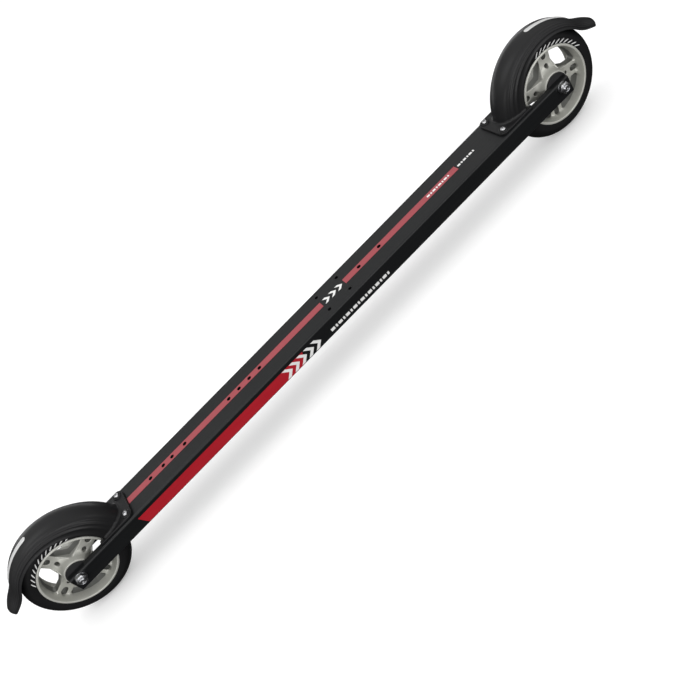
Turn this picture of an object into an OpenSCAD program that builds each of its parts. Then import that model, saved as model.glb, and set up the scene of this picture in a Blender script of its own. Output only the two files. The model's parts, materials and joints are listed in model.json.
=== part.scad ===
// Skate roller ski: a hollow alloy beam, forked at both ends, with a wheel in each fork
// and a moulded mudguard over each wheel. X runs towards the toe end, Y to the left,
// Z up. The origin is on the ground under the middle of the ski.

/* [Wheelbase] */
// Distance between the two axles
wheelbase = 610; // [560:1:660]

/* [Beam] */
// Width of the beam across the outside
beam_w = 43; // [41:0.5:46]
// Height of the beam
beam_h = 17.5; // [16:0.5:22]
// Height of the deck above the axle centres
deck_above_axle = 5.5; // [4.5:0.1:7]
// Thickness of the beam's side walls
side_wall = 2.5; // [2:0.1:3]
// Thickness of the beam's top and bottom walls
deck_wall = 2.2; // [1.8:0.1:2.8]
// Length of the fork arms past the axle
arm_overhang = 9; // [8:0.5:12]
// Width of the slot that the wheel turns in
slot_w = 30; // [29.6:0.1:31]

/* [Wheels] */
// Diameter of the wheel over the tread
wheel_d = 100; // [98:0.5:102]
// Width of the tyre
tyre_w = 24; // [22:0.5:24]
// Radius of the rim that the tyre is bonded to
rim_r = 36; // [35:0.5:37]
// Number of spokes in each hub
spokes = 4; // [4:1:5]
// Turn of the front wheel at rest, from a spoke pointing straight forward
front_turn = 78; // [0:1:90]
// Turn of the rear wheel at rest
rear_turn = 67; // [0:1:90]

/* [Binding holes] */
// Diameter of the binding screw holes in the deck
binding_hole_d = 4; // [3.5:0.1:5]
// Distance of the toe hole square's centre ahead of the middle
toe_square_x = 27.5; // [10:0.5:40]
// Side of the toe hole square
toe_square = 26; // [20:0.5:28]

/* [Mudguards] */
// Radius of the mudguard's crown, outside
guard_r = 61.2; // [60.6:0.1:62]
// Half width of the mudguard, outside
guard_half_w = 17; // [16.5:0.1:17.5]
// Thickness of the mudguard's wall
guard_wall = 2; // [1.6:0.1:2.2]
// Distance of the tongue's tip ahead of the axle
tongue_reach = 66; // [62:0.5:68]
// Height of the tongue's tip above the axle
tongue_tip_z = 17; // [15:0.5:19]

/* [Hidden] */
eps = 0.01;
round_fn = 96;
small_fn = 48;

axle_x = wheelbase / 2;
axle_z = wheel_d / 2;
deck_z = axle_z + deck_above_axle;
belly_z = deck_z - beam_h;
beam_end = axle_x + arm_overhang;
top_corner_r = 1.8;
bottom_corner_r = 0.8;
wheel_gap = 4;
slot_start = axle_x - axle_z - wheel_gap;
side_y = beam_w / 2;
inner_side_y = side_y - side_wall;

// Deck holes in single file: two ahead of the toe square, then two heel groups of four
toe_line = [61, 87];
heel_line_x = -67;
heel_line_pitch = 13;
tail_line = [-162, -178, -189, -205];

// 608 bearing
bearing_r = 11;
bearing_bore_r = 4;
bearing_w = 7;
inner_ring_r = 6.05;
outer_ring_r = 9;
ball_track_r = 7.5;
ball_r = 1.95;
track_groove_r = 2.07;
balls = 7;
seal_t = 0.4;
seal_recess = 0.1;
cage_t = 1;
cage_w = 5.2;
cage_pocket_r = 2.12;
bearing_out_y = 13;
bearing_in_y = bearing_out_y - bearing_w;
bearing_mid_y = bearing_out_y - bearing_w / 2;

// Hub
hub_face_y = 13.5;
seat_step = 1.5;
boss_r = 12.8;
rim_lip_y = 12.4;
rim_wall_r = 33;
web_y = 4.4;
window_corner_r = 2.4;
inner_hole = [18, 2.2];
outer_hole_r = 2.7;
outer_hole_from = 27;
outer_hole_to = 29.8;

// Tyre: flat tread between two round shoulders
shoulder_r = 12.95;
shoulder_centre_r = axle_z - 12.6;

// M6 axle parts
axle_r = 3;
axle_bore_r = 3.05;
arm_bore_r = 3.1;
hex_af = 10;
hex_r = hex_af / 2 / cos(30);
washer_r = 5.6;
washer_t = 0.8;
nut_h = 4.9;
flange_r = 6;
flange_h = 1.2;
axle_end_y = 27.8;
shield_r = 11.8;
spacer_collar_r = 5.6;
running_gap = 0.4;

// Mudguard: the crown is an arc about a point near the axle, then a straight tongue
crown_cx = -2.2;
crown_cz = -4.5;
arc_from = 174;
arc_to = 39;
arc_steps = 24;
tongue_steps = 4;
tip_steps = 5;
tip_from = 0.8;
section_steps = 14;
section_power = 0.909;
skirt_end = 47;
skirt_depth_end = 7.9;
tip_half_w = 14.3;
tip_depth = 5.2;
tip_fall = 40;
foot_in = -71.3;
foot_out = -33;
foot_half_w = 19.5;
foot_t = 2.5;
foot_corner_r = 6;
lug_r = 4.6;
lug_h = 3.6;
guard_screw_x = -65.5;
guard_screw_y = 13.8;
guard_screw_r = 1.9;
guard_screw_bore_r = 2;
guard_screw_head_r = 2.7;
guard_screw_head_h = 1.5;
guard_screw_len = 9;

// Reflector strip: from and to angle on the crown
reflector_from = 42;
reflector_to = 86;
strip_half_w = 2.6;
strip_t = 0.4;

// Thin printed films on the beam
film_t = 0.12;
stripe_y0 = -3.9;
stripe_w = 7.8;
stripe_from = -axle_x - foot_in + 0.5;
stripe_to = 188;
mark_gap = [13, 42];
panel_rear = -235;
panel_front = -30;
panel_slant = 4;
panel_z0 = belly_z + 0.9;
panel_z1 = axle_z + 0.4;

// ---- placing ----

// Places a front-end piece, drawn about the axle centre with +X pointing outwards
module at_front() {
    translate([axle_x, 0, axle_z]) children();
}

// Places the mirrored rear-end piece
module at_rear() {
    translate([-axle_x, 0, axle_z]) mirror([1, 0, 0]) children();
}

// Turns a shape drawn about Z so that its axis lies along Y
module along_y() {
    rotate([90, 0, 0]) children();
}

// Two copies, one on each side of the middle plane
module both_sides() {
    children();
    mirror([0, 1, 0]) children();
}

// A ring about the Y axis, from y0 to y1
module ring_y(r_out, r_in, y0, y1) {
    along_y() translate([0, 0, -y1]) difference() {
        cylinder(r = r_out, h = y1 - y0, $fn = round_fn);
        translate([0, 0, -1]) cylinder(r = r_in, h = y1 - y0 + 2, $fn = round_fn);
    }
}

// A rod about the Y axis, from y0 to y1
module rod_y(r, y0, y1, fn = small_fn) {
    along_y() translate([0, 0, -y1]) cylinder(r = r, h = y1 - y0, $fn = fn);
}

// Direction that the outline's side after corner i faces
function side_normal(centres, i) =
    let (n = len(centres), d = centres[(i + 1) % n] - centres[i % n]) atan2(d[1], d[0]) - 90;

// Points of a rounded convex outline, anticlockwise, with an arc about each corner centre
function rounded_points(centres, r, steps) = let (n = len(centres))
    [for (i = [0:n - 1])
        let (a = side_normal(centres, i + n - 1), turn = (side_normal(centres, i) - a + 360) % 360)
        for (k = [0:steps]) centres[i] + r * [cos(a + turn * k / steps), sin(a + turn * k / steps)]];

// A half outline above the first axis, closed by its own mirror image
function with_mirror(half) =
    concat(half, [for (i = [len(half) - 1:-1:0]) [half[i][0], -half[i][1]]]);

// ---- beam ----

// Cross-section with its own radius on the top and the bottom corners
module bar_section(w, z0, z1, r_top, r_bottom) {
    translate([-w / 2, z0 + r_bottom]) square([w, z1 - z0 - r_top - r_bottom]);
    translate([-w / 2 + r_bottom, z0]) square([w - 2 * r_bottom, r_bottom + eps]);
    translate([-w / 2 + r_top, z1 - r_top - eps]) square([w - 2 * r_top, r_top + eps]);
    for (s = [-1, 1]) {
        translate([s * (w / 2 - r_bottom), z0 + r_bottom]) circle(r = r_bottom, $fn = small_fn);
        translate([s * (w / 2 - r_top), z1 - r_top]) circle(r = r_top, $fn = small_fn);
    }
}

module along_x(length) {
    translate([-length / 2, 0, 0]) rotate([90, 0, 90]) linear_extrude(height = length) children();
}

// Every screw hole for a binding, as drills of the given radius
module binding_drills(r) {
    for (sx = [-1, 1], sy = [-1, 1])
        translate([toe_square_x + sx * toe_square / 2, sy * toe_square / 2, deck_z - deck_wall - 1])
            cylinder(r = r, h = deck_wall + 2, $fn = small_fn);
    heel_line = [for (i = [0:3]) heel_line_x - i * heel_line_pitch];
    for (x = concat(toe_line, heel_line, tail_line))
        translate([x, 0, deck_z - deck_wall - 1]) cylinder(r = r, h = deck_wall + 2, $fn = small_fn);
}

module beam() {
    color([0.16, 0.165, 0.17]) difference() {
        along_x(2 * beam_end) bar_section(beam_w, belly_z, deck_z, top_corner_r, bottom_corner_r);
        along_x(2 * beam_end + 2)
            bar_section(2 * inner_side_y, belly_z + deck_wall, deck_z - deck_wall, 1, 1);
        for (s = [-1, 1]) {
            translate([s > 0 ? slot_start : -beam_end - 1, -slot_w / 2, belly_z - 1])
                cube([beam_end + 1 - slot_start, slot_w, beam_h + 2]);
            translate([s * axle_x, 0, axle_z]) rod_y(arm_bore_r, -side_y - 1, side_y + 1);
            for (sy = [-1, 1])
                translate([s * (axle_x + guard_screw_x), sy * guard_screw_y, deck_z - deck_wall - 1])
                    cylinder(r = guard_screw_bore_r, h = deck_wall + 2, $fn = small_fn);
        }
        binding_drills(binding_hole_d / 2);
    }
}

// ---- wheel ----

// Half of the hub's section: bearing seat, boss, web and rim, as radius and height points
hub_half_section = [
    [bearing_r - seat_step, bearing_in_y], [bearing_r, bearing_in_y], [bearing_r, hub_face_y],
    [boss_r, hub_face_y], [13.3, 11.5], [14.4, 8.9], [16.2, 6.5], [18, 5.4], [20, 4.8], [23, web_y + 0.1],
    [28, web_y], [31, web_y + 0.2], [32.2, web_y + 1.6], [rim_wall_r, web_y + 4.2], [33.6, 11.3],
    [34, rim_lip_y], [rim_r, rim_lip_y]];

// Corner centres of one window between two spokes, pointing along +X
window_tip_r = 16.9;
window_mid_r = 24;
window_mid_reach = 180 / spokes - 22;
window_outer_r = rim_wall_r - window_corner_r - 0.5;
window_outer_reach = 180 / spokes - 17.5;

function polar(r, a) = r * [cos(a), sin(a)];

window_centres = concat([[window_tip_r, 0], polar(window_mid_r, -window_mid_reach)],
    [for (k = [-2:2]) polar(window_outer_r, window_outer_reach * k / 2)],
    [polar(window_mid_r, window_mid_reach)]);

module hub(turn) {
    color([0.78, 0.77, 0.70]) rotate([0, -turn, 0]) difference() {
        along_y() rotate_extrude($fn = round_fn) polygon(with_mirror(hub_half_section));
        for (i = [0:spokes - 1]) rotate([0, 360 / spokes * i, 0]) {
            rotate([0, 180 / spokes, 0]) along_y() translate([0, 0, -hub_face_y - 1])
                linear_extrude(height = 2 * hub_face_y + 2)
                    polygon(rounded_points(window_centres, window_corner_r, 5));
            translate([inner_hole[0], 0, 0]) rod_y(inner_hole[1], -hub_face_y, hub_face_y);
            along_y() translate([0, 0, -hub_face_y]) linear_extrude(height = 2 * hub_face_y)
                polygon(rounded_points([[outer_hole_from, 0], [outer_hole_to, 0]], outer_hole_r, 10));
        }
    }
}

module tyre() {
    color([0.07, 0.07, 0.075]) along_y() rotate_extrude($fn = round_fn) intersection() {
        translate([rim_r, -tyre_w / 2]) square([axle_z - rim_r, tyre_w]);
        translate([shoulder_centre_r, 0]) circle(r = shoulder_r, $fn = round_fn);
    }
}

// ---- bearings: one at each side of the hub ----

module each_bearing() {
    both_sides() translate([0, bearing_mid_y, 0]) children();
}

// One race with its ball track
module bearing_race(r_in, r_out) {
    along_y() rotate_extrude($fn = round_fn) difference() {
        translate([r_in, -bearing_w / 2]) square([r_out - r_in, bearing_w]);
        translate([ball_track_r, 0]) circle(r = track_groove_r, $fn = small_fn);
    }
}

module bearing_outer_rings() {
    color([0.75, 0.76, 0.78]) each_bearing() bearing_race(outer_ring_r, bearing_r);
}

module bearing_inner_rings() {
    color([0.75, 0.76, 0.78]) each_bearing() bearing_race(bearing_bore_r, inner_ring_r);
}

module bearing_balls() {
    color([0.85, 0.86, 0.88]) each_bearing() for (i = [0:balls - 1])
        rotate([0, 360 / balls * i, 0]) translate([ball_track_r, 0, 0]) sphere(r = ball_r, $fn = 32);
}

module bearing_cages() {
    color([0.80, 0.72, 0.50]) each_bearing() difference() {
        ring_y(ball_track_r + cage_t / 2, ball_track_r - cage_t / 2, -cage_w / 2, cage_w / 2);
        for (i = [0:balls - 1]) rotate([0, 90 + 360 / balls * i, 0])
            translate([0, 0, ball_track_r - 2]) cylinder(r = cage_pocket_r, h = 4, $fn = small_fn);
    }
}

module bearing_seals() {
    color([0.08, 0.08, 0.09]) each_bearing() both_sides()
        ring_y(outer_ring_r - 0.02, inner_ring_r + 0.25,
               bearing_w / 2 - seal_recess - seal_t, bearing_w / 2 - seal_recess);
}

// ---- axle ----

// Sleeve that takes the bearings' bores down to the axle, with a collar between them
module hub_sleeve() {
    color([0.70, 0.71, 0.73]) difference() {
        union() {
            rod_y(bearing_bore_r, -bearing_out_y, bearing_out_y);
            rod_y(spacer_collar_r, -bearing_in_y, bearing_in_y);
        }
        rod_y(axle_bore_r, -bearing_out_y - 1, bearing_out_y + 1);
    }
}

// Spacer between each bearing and its fork arm: a collar on the inner ring, and a disc
// that shields the bearing and bears on the edges of the slot
module axle_spacers() {
    color([0.06, 0.06, 0.065]) both_sides() difference() {
        union() {
            rod_y(spacer_collar_r, bearing_out_y, hub_face_y + running_gap + eps);
            rod_y(shield_r, hub_face_y + running_gap, slot_w / 2, round_fn);
        }
        rod_y(axle_bore_r, bearing_out_y - 1, slot_w / 2 + 1);
    }
}

// Screw from the left: flanged hex head, shank and threaded end
module axle_bolt() {
    color([0.72, 0.73, 0.75]) {
        rod_y(axle_r, -axle_end_y, side_y + washer_t + eps);
        rod_y(flange_r, side_y + washer_t, side_y + washer_t + flange_h);
        rod_y(hex_r, side_y + washer_t + flange_h - eps, axle_end_y, 6);
    }
}

module axle_washers() {
    color([0.74, 0.75, 0.77]) both_sides() ring_y(washer_r, axle_bore_r, side_y, side_y + washer_t);
}

module axle_nut() {
    color([0.76, 0.77, 0.79]) difference() {
        rod_y(hex_r, -side_y - washer_t - nut_h, -side_y - washer_t, 6);
        rod_y(axle_r, -side_y - washer_t - nut_h - 1, -side_y - washer_t + 1);
    }
}

// ---- mudguard ----

// The tongue's crown line is a curve that leaves the arc along its tangent and then lifts
tongue_from = [crown_cx + guard_r * cos(arc_to), crown_cz + guard_r * sin(arc_to)];
tongue_to = [tongue_reach, tongue_tip_z];
tongue_pull = 0.4 * norm(tongue_to - tongue_from);
tongue_line = [tongue_from, tongue_from + tongue_pull * [sin(arc_to), -cos(arc_to)],
               tongue_to - tongue_pull * [cos(tip_fall), -sin(tip_fall)], tongue_to];

function curve_point(p, t) = pow(1 - t, 3) * p[0] + 3 * pow(1 - t, 2) * t * p[1]
    + 3 * (1 - t) * t * t * p[2] + t * t * t * p[3];

function curve_slope(p, t) = pow(1 - t, 2) * (p[1] - p[0]) + 2 * (1 - t) * t * (p[2] - p[1])
    + t * t * (p[3] - p[2]);

// Depth of the skirt below the crown on the arc: deepest at the foot
function skirt_depth(a) = skirt_depth_end + 17 * pow(max(0, a - skirt_end) / 121, 1.4);

// A station holds the crown point, its outward direction, the half width and the depth
function arc_station(a) =
    [[crown_cx + guard_r * cos(a), crown_cz + guard_r * sin(a)], [cos(a), sin(a)],
     guard_half_w, skirt_depth(a)];

// The tongue narrows a little, and its last part is rounded off
function tongue_half_w(t) = (guard_half_w + (tip_half_w - guard_half_w) * pow(min(1, t / 0.85), 1.3))
    * sqrt(1 - pow(max(0, t - tip_from) / (1 - tip_from), 2));

function tongue_station(t) =
    let (slope = curve_slope(tongue_line, t), along = slope / norm(slope))
    [curve_point(tongue_line, t), [-along[1], along[0]], tongue_half_w(t),
     skirt_depth_end + (tip_depth - skirt_depth_end) * t];

stations = concat(
    [for (i = [0:arc_steps]) arc_station(arc_from + (arc_to - arc_from) * i / arc_steps)],
    [for (i = [1:tongue_steps]) tongue_station(tip_from * i / tongue_steps)],
    [for (i = [1:tip_steps]) tongue_station(tip_from + (1 - tip_from) * sin(85 * i / tip_steps))]);

// Point on a station's section; phi runs from one skirt edge to the other
function section_point(s, phi, wall) =
    let (side = pow(abs(sin(phi)), section_power) * sign(sin(phi)),
         drop = wall + (s[3] - wall) * (1 - pow(abs(cos(phi)), section_power)))
    [s[0][0] - s[1][0] * drop, (s[2] - wall) * side, s[0][1] - s[1][1] * drop];

// Outer skin one way, inner skin back, as one closed loop; the wall thins into the tip
function section_loop(s) = let (wall = min(guard_wall, 0.6 * s[2])) concat(
    [for (i = [0:section_steps]) section_point(s, -90 + 180 * i / section_steps, 0)],
    [for (i = [section_steps:-1:0]) section_point(s, -90 + 180 * i / section_steps, wall)]);

module guard_shell() {
    loop = 2 * (section_steps + 1);
    last = (len(stations) - 1) * loop;
    polyhedron(
        points = [for (s = stations) each section_loop(s)],
        faces = concat(
            [for (k = [0:len(stations) - 2], i = [0:loop - 1])
                let (j = (i + 1) % loop) each
                [[k * loop + i, k * loop + j, (k + 1) * loop + j],
                 [k * loop + i, (k + 1) * loop + j, (k + 1) * loop + i]]],
            [for (i = [0:section_steps - 1]) each
                [[i, loop - 2 - i, i + 1], [i, loop - 1 - i, loop - 2 - i]]],
            [for (i = [0:section_steps - 1]) each
                [[last + i, last + i + 1, last + loop - 2 - i],
                 [last + i, last + loop - 2 - i, last + loop - 1 - i]]]));
}

// Flat foot under the shell with a lug round each screw, open over the wheel
module guard_foot() {
    inner_x = -axle_z - wheel_gap;
    corner_x = foot_in + foot_corner_r;
    corner_y = foot_half_w - foot_corner_r;
    translate([0, 0, deck_above_axle]) difference() {
        union() {
            linear_extrude(height = foot_t) {
                translate([corner_x, -foot_half_w]) square([foot_out - corner_x, 2 * foot_half_w]);
                translate([foot_in, -corner_y]) square([foot_corner_r + eps, 2 * corner_y]);
                for (s = [-1, 1]) translate([corner_x, s * corner_y])
                    circle(r = foot_corner_r, $fn = small_fn);
            }
            for (s = [-1, 1]) translate([guard_screw_x, s * guard_screw_y, eps])
                cylinder(r = lug_r, h = lug_h - eps, $fn = small_fn);
        }
        translate([inner_x, -guard_half_w + guard_wall, -1])
            cube([foot_out - inner_x + 1, 2 * (guard_half_w - guard_wall), foot_t + 2]);
        for (s = [-1, 1]) translate([guard_screw_x, s * guard_screw_y, -1])
            cylinder(r = guard_screw_bore_r, h = lug_h + 2, $fn = small_fn);
    }
}

module mudguard() {
    color([0.10, 0.10, 0.105]) {
        difference() {
            guard_shell();
            translate([-100, -50, deck_above_axle - 60]) cube([100, 100, 60]);
        }
        guard_foot();
    }
}

module guard_screws() {
    color([0.80, 0.81, 0.82]) for (s = [-1, 1])
        translate([guard_screw_x, s * guard_screw_y, deck_above_axle + lug_h]) {
            translate([0, 0, -guard_screw_len])
                cylinder(r = guard_screw_r, h = guard_screw_len + eps, $fn = small_fn);
            cylinder(r1 = guard_screw_head_r, r2 = guard_screw_head_r - 0.6,
                     h = guard_screw_head_h, $fn = small_fn);
        }
}

// Narrow strip along the crown
module reflector() {
    color([0.92, 0.92, 0.92]) translate([crown_cx, 0, crown_cz]) rotate([0, -reflector_from, 0])
        rotate([90, 0, 0]) rotate_extrude(angle = reflector_to - reflector_from, $fn = round_fn)
            translate([guard_r, -strip_half_w]) square([strip_t, 2 * strip_half_w]);
}

// ---- printed films ----

// Forward-pointing chevron
module chevron(x, y0, h, thick, reach) {
    polygon([[x, y0], [x + thick, y0], [x + thick + reach, y0 + h / 2], [x + thick, y0 + h],
             [x, y0 + h], [x + reach, y0 + h / 2]]);
}

// A row of dashes of alternating length
module dash_row(x0, x1, y0, h, long, short, gap) {
    pair = long + short + 2 * gap;
    for (x = [x0:pair:x1 - pair]) {
        translate([x, y0]) square([long, h]);
        translate([x + long + gap, y0]) square([short, h]);
    }
}

module top_mark_outlines() {
    for (i = [0:2]) chevron(16 + 8 * i, -4, 8, 3.4, 4);
    dash_row(150, 187, -1.2, 2.4, 3.4, 1.6, 1.2);
    dash_row(190, 214, -1.2, 2.4, 3.4, 1.6, 1.2);
}

module side_mark_outlines() {
    for (i = [0:4]) chevron(-56 + 9 * i, belly_z + 1.2, 11, 4.2, 5.5);
    dash_row(2, 78, belly_z + 3.9, 3, 4.4, 2, 1.5);
}

module top_stripe() {
    color([0.78, 0.20, 0.25]) difference() {
        translate([0, 0, deck_z]) linear_extrude(height = film_t) difference() {
            union() {
                translate([stripe_from, stripe_y0]) square([mark_gap[0] - stripe_from, stripe_w]);
                translate([mark_gap[1], stripe_y0]) square([stripe_to - mark_gap[1], stripe_w]);
            }
            top_mark_outlines();
        }
        binding_drills(binding_hole_d / 2 + 0.1);
    }
}

module top_marks() {
    color([0.93, 0.93, 0.92]) translate([0, 0, deck_z]) linear_extrude(height = film_t)
        top_mark_outlines();
}

// Lays an outline drawn in x and z on the right side of the beam
module on_right_side() {
    translate([0, -side_y, 0]) rotate([90, 0, 0]) linear_extrude(height = film_t) children();
}

module on_left_side() {
    mirror([0, 1, 0]) on_right_side() children();
}

module side_panel_outline() {
    difference() {
        polygon([[panel_rear, panel_z1], [panel_rear + panel_slant, panel_z0],
                 [panel_front - panel_slant, panel_z0], [panel_front, panel_z1]]);
        side_mark_outlines();
    }
}

module right_side_panel() {
    color([0.72, 0.10, 0.14]) on_right_side() side_panel_outline();
}

module left_side_panel() {
    color([0.72, 0.10, 0.14]) on_left_side() side_panel_outline();
}

module right_side_marks() {
    color([0.93, 0.93, 0.92]) on_right_side() side_mark_outlines();
}

module left_side_marks() {
    color([0.93, 0.93, 0.92]) on_left_side() side_mark_outlines();
}

beam();
at_front() mudguard();  // front_mudguard
at_rear() mudguard();  // rear_mudguard
at_front() guard_screws();  // front_guard_screws
at_rear() guard_screws();  // rear_guard_screws
at_front() reflector();  // front_reflector
at_rear() reflector();  // rear_reflector
at_front() hub(front_turn);  // front_hub
at_rear() hub(rear_turn);  // rear_hub
at_front() tyre();  // front_tyre
at_rear() tyre();  // rear_tyre
at_front() bearing_outer_rings();  // front_bearing_outer_rings
at_rear() bearing_outer_rings();  // rear_bearing_outer_rings
at_front() bearing_inner_rings();  // front_bearing_inner_rings
at_rear() bearing_inner_rings();  // rear_bearing_inner_rings
at_front() bearing_balls();  // front_bearing_balls
at_rear() bearing_balls();  // rear_bearing_balls
at_front() bearing_cages();  // front_bearing_cages
at_rear() bearing_cages();  // rear_bearing_cages
at_front() bearing_seals();  // front_bearing_seals
at_rear() bearing_seals();  // rear_bearing_seals
at_front() hub_sleeve();  // front_hub_sleeve
at_rear() hub_sleeve();  // rear_hub_sleeve
at_front() axle_spacers();  // front_axle_spacers
at_rear() axle_spacers();  // rear_axle_spacers
at_front() axle_bolt();  // front_axle_bolt
at_rear() axle_bolt();  // rear_axle_bolt
at_front() axle_washers();  // front_axle_washers
at_rear() axle_washers();  // rear_axle_washers
at_front() axle_nut();  // front_axle_nut
at_rear() axle_nut();  // rear_axle_nut
top_stripe();
right_side_panel();
left_side_panel();
top_marks();
right_side_marks();
left_side_marks();
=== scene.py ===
"""Skate roller ski: materials, detailed pieces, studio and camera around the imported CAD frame."""

import json
import math

import bmesh
import bpy
from mathutils import Matrix, Vector
from mathutils.geometry import delaunay_2d_cdt


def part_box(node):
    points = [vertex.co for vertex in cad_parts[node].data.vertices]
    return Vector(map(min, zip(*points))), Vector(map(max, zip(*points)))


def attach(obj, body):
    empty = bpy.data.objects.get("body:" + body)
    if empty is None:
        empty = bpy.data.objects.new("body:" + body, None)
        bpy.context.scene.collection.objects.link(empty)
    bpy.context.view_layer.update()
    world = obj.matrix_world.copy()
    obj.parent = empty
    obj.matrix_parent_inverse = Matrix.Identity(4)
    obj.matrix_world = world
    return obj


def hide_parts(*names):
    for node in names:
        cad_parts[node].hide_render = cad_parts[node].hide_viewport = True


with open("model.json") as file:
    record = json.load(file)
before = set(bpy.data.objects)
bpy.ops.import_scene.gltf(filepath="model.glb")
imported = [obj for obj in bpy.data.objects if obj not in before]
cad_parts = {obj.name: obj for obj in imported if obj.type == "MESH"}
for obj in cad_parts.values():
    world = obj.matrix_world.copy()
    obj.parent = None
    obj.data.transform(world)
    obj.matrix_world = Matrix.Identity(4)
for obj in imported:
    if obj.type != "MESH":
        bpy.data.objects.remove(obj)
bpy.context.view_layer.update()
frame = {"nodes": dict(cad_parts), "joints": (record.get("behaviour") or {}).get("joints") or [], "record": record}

MM = 0.001
NODES = frame["nodes"]
AXLES = {j["child"].split("_")[0]: Vector(j["pos_m"]) for j in frame["joints"]}
# Each end of the ski, and which way along X it points
ENDS = (("front", 1), ("rear", -1))
DECK_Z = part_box("beam")[1].z
SIDE_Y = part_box("beam")[1].y
WHEEL_R = AXLES["front"].z


# ---- materials ----


class Look:
    """A material being put together: its shader, and short calls that add texture nodes."""

    def __init__(self, name, colour, roughness, metallic=0.0, specular=0.5):
        self.material = bpy.data.materials.new(name)
        self.material.use_nodes = True
        self.tree = self.material.node_tree
        self.shader = self.tree.nodes["Principled BSDF"]
        self.colour = (*colour, 1.0)
        self.roughness = roughness
        self.set("Base Color", self.colour)
        self.set("Roughness", roughness)
        self.set("Metallic", metallic)
        self.set("Specular IOR Level", specular)
        self.place = self.add("ShaderNodeTexCoord").outputs["Object"]

    def set(self, socket, value):
        """Sets a number or colour that is the same all over the surface."""
        self.shader.inputs[socket].default_value = value

    def add(self, kind, **inputs):
        """Adds a node. Each input is a number, a colour or another node's output."""
        node = self.tree.nodes.new(kind)
        for name, value in inputs.items():
            socket = node.inputs[int(name[1:])] if name[0] == "_" else node.inputs[name.replace("_", " ")]
            self.join(value, socket)
        return node

    def join(self, value, socket):
        """Links another node's output to a socket, or sets the socket to a number or colour."""
        if isinstance(value, bpy.types.NodeSocket):
            self.tree.links.new(value, socket)
        else:
            socket.default_value = value

    def math(self, operation, a, b=0.0):
        node = self.add("ShaderNodeMath", _0=a, _1=b)
        node.operation = operation
        return node.outputs[0]

    def noise(self, scale, stretch=(1, 1, 1), detail=3.0, roughness=0.5):
        """Noise with scale features a metre, drawn out along the axes with a small stretch."""
        mapping = self.add("ShaderNodeMapping", Vector=self.place, Scale=stretch)
        node = self.add("ShaderNodeTexNoise", Vector=mapping.outputs[0], Scale=scale, Detail=detail,
                        Roughness=roughness)
        return node.outputs["Fac"]

    def span(self, value, low, high, to_low=0.0, to_high=1.0):
        """Maps low..high to to_low..to_high, with the ends held."""
        node = self.add("ShaderNodeMapRange", _0=value, _1=low, _2=high, _3=to_low, _4=to_high)
        return node.outputs[0]

    def blend(self, factor, a, b):
        """Colour a where factor is 0, colour b where it is 1."""
        node = self.add("ShaderNodeMix")
        node.data_type = "RGBA"
        self.join(factor, node.inputs[0])
        self.join(a, node.inputs[6])
        self.join(b, node.inputs[7])
        return node.outputs[2]

    def edges(self, radius):
        """Near 1 along sharp or rounded edges, 0 on flat and gently curved surfaces."""
        bevel = self.add("ShaderNodeBevel", Radius=radius)
        flat = self.add("ShaderNodeNewGeometry").outputs["Normal"]
        dot = self.add("ShaderNodeVectorMath", _0=bevel.outputs[0], _1=flat)
        dot.operation = "DOT_PRODUCT"
        return self.span(dot.outputs["Value"], 0.995, 0.90)

    def recess_shade(self, reach):
        """Near 1 in recesses and holes that a reach of open space doesn't lie over, 0 in the open."""
        open_sky = self.add("ShaderNodeAmbientOcclusion", Distance=reach)
        open_sky.samples = 8
        return self.span(open_sky.outputs["AO"], 0.85, 0.35)

    def tint(self, factor, colour):
        """Paints colour over the base by factor."""
        socket = self.shader.inputs["Base Color"]
        base = socket.links[0].from_socket if socket.links else self.colour
        self.join(self.blend(factor, base, (*colour, 1.0)), socket)

    def rough(self, value, spread):
        """Varies the roughness by spread either way with value, which runs from 0 to 1."""
        low, high = self.roughness - spread, self.roughness + spread
        self.join(self.span(value, 0.3, 0.7, low, high), self.shader.inputs["Roughness"])

    def bump(self, height, depth, strength=1.0):
        """Adds relief: depth is the height in metres for a value of 1."""
        socket = self.shader.inputs["Normal"]
        node = self.add("ShaderNodeBump", Strength=strength, Distance=depth, Height=height)
        if socket.links:
            self.tree.links.new(socket.links[0].from_socket, node.inputs["Normal"])
        self.tree.links.new(node.outputs[0], socket)


def anodised_black():
    """Brushed along the beam, with brighter worn edges."""
    look = Look("anodised_black", (0.0055, 0.006, 0.0065), 0.38, specular=0.26)
    grain = look.noise(900, stretch=(0.012, 1, 1), detail=4)
    cloud = look.noise(14, detail=4)
    fine = look.noise(5200, detail=2)
    look.tint(look.span(cloud, 0.35, 0.7, 0.0, 0.4), (0.010, 0.0105, 0.011))
    look.tint(look.math("MULTIPLY", look.edges(0.0006), look.span(cloud, 0.45, 0.7, 0.05, 0.4)),
              (0.20, 0.20, 0.205))
    look.rough(grain, 0.07)
    look.bump(grain, 0.00002, 0.5)
    look.bump(fine, 0.000008, 0.5)
    return look.material


def guard_plastic():
    """Moulded plastic with a fine texture and scuffed edges."""
    look = Look("guard_plastic", (0.0085, 0.0085, 0.009), 0.36, specular=0.22)
    texture = look.noise(3200, detail=3)
    cloud = look.noise(30, detail=3)
    scuff = look.noise(420, stretch=(0.25, 1, 1), detail=5, roughness=0.7)
    look.tint(look.span(cloud, 0.35, 0.7, 0.0, 0.4), (0.013, 0.013, 0.014))
    look.tint(look.math("MULTIPLY", look.edges(0.0008), look.span(scuff, 0.5, 0.7, 0.0, 0.5)),
              (0.045, 0.045, 0.045))
    look.rough(cloud, 0.06)
    look.bump(texture, 0.00003, 0.3)
    return look.material


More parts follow.
